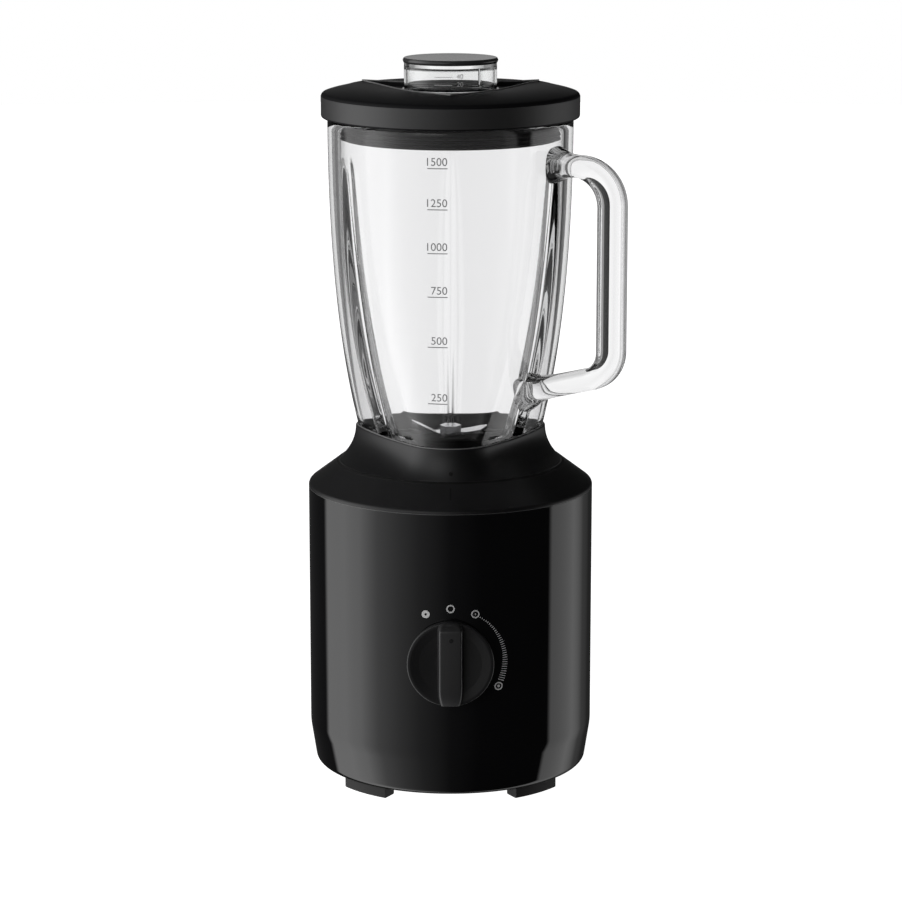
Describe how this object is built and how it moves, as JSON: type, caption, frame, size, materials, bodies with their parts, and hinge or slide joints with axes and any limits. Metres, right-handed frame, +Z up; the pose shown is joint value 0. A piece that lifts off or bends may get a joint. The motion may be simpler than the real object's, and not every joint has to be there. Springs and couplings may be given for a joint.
{
  "type": "countertop blender",
  "caption": "Countertop blender: round motor base with a speed knob, three-cornered glass jug with a handle and blades, lid and measuring cap.",
  "frame": {"origin": "on the motor axis, at the plane of the table under the rubber feet", "axes": "+Z up along the motor axis and the jug; -Y is the front, with the speed knob; the jug's handle points to 60 degrees from the front towards +X"},
  "size_m": [0.1838, 0.1819, 0.424],
  "materials": {
    "gloss_housing": "high gloss",
    "matt_black": "fine satin",
    "structural_plastic": "as moulded",
    "rubber_black": "matt",
    "clear_glass": "polished",
    "clear_cup": "polished",
    "stainless": "brushed",
    "zinc_steel": "zinc plated",
    "lamination_steel": "stacked sheets",
    "die_cast": "as cast",
    "copper": "enamelled wire",
    "brass": "turned",
    "carbon": "matt",
    "circuit_board": "varnished",
    "capacitor_yellow": "moulded",
    "lead_red": "insulated wire",
    "pin_cream": "as moulded"
  },
  "bodies": {
    "base": {"outer_housing": "gloss_housing", "top_deck": "matt_black", "base_plate": "structural_plastic", "rubber_feet": "rubber_black", "base_screws": "zinc_steel", "cord_inlet": "rubber_black", "knob_bushing": "structural_plastic", "spill_seal": "rubber_black", "motor_stator": "lamination_steel", "field_coils": "copper", "upper_bracket": "die_cast", "lower_bracket": "die_cast", "upper_bearing": "stainless", "lower_bearing": "stainless", "brush_holders": "brass", "carbon_brushes": "carbon", "brush_springs": "stainless", "motor_bolts": "zinc_steel", "mount_bushes": "rubber_black", "mount_screws": "zinc_steel", "control_board": "circuit_board", "speed_switch": "structural_plastic", "capacitor": "capacitor_yellow", "heat_sink": "die_cast", "motor_leads": "lead_red", "interlock_switch": "structural_plastic", "fan_shroud": "structural_plastic", "interlock_spring": "stainless"},
    "rotor": {"rotor_shaft": "stainless", "armature_core": "lamination_steel", "armature_windings": "copper", "commutator": "copper", "cooling_fan": "structural_plastic", "drive_coupling": "rubber_black"},
    "knob": {"speed_knob": "matt_black", "knob_shaft": "stainless"},
    "interlock": {"interlock_pin": "pin_cream"},
    "jug": {"glass_jug": "clear_glass", "jug_collar": "matt_black", "bayonet_ring": "structural_plastic"},
    "blade_unit": {"blade_carrier": "structural_plastic", "carrier_seal": "rubber_black", "blade_bushes": "brass", "shaft_seal": "rubber_black"},
    "blades": {"blade_shaft": "stainless", "upper_blade": "stainless", "lower_blade": "stainless", "blade_washers": "stainless", "blade_nut": "stainless", "driven_coupling": "rubber_black"},
    "lid": {"lid": "matt_black", "lid_seal": "rubber_black"},
    "cap": {"measuring_cup": "clear_cup", "cap_disc": "matt_black"}
  },
  "joints": [
    {"name": "rotor_spin", "type": "hinge", "parent": "base", "child": "rotor", "pos_m": [0, 0, 0.1], "axis": [0, 0, 1], "continuous": true},
    {"name": "knob_turn", "type": "hinge", "parent": "base", "child": "knob", "pos_m": [0, -0.09, 0.087], "axis": [0, 1, 0], "range_deg": [-27, 119]},
    {"name": "interlock_press", "type": "slide", "parent": "base", "child": "interlock", "axis": [0, 0, 1], "range_m": [-0.003, 0], "stiffness_N_per_m": 400, "springref_m": 0.002, "deforming": ["interlock_spring"]},
    {"name": "jug_lift", "type": "slide", "parent": "base", "child": "jug", "axis": [0, 0, 1], "range_m": [0, 0.1]},
    {"name": "blade_unit_twist", "type": "hinge", "parent": "jug", "child": "blade_unit", "pos_m": [0, 0, 0.189], "axis": [0, 0, 1], "range_deg": [-35, 0]},
    {"name": "blade_spin", "type": "hinge", "parent": "jug", "child": "blades", "pos_m": [0, 0, 0.19], "axis": [0, 0, 1], "continuous": true},
    {"name": "lid_lift", "type": "slide", "parent": "jug", "child": "lid", "axis": [0, 0, 1], "range_m": [0, 0.08]},
    {"name": "cap_lift", "type": "slide", "parent": "lid", "child": "cap", "axis": [0, 0, 1], "range_m": [0, 0.06]}
  ],
  "couplings": [
    {"joint": "blade_spin", "follows": "rotor_spin", "ratio": 1}
  ]
}
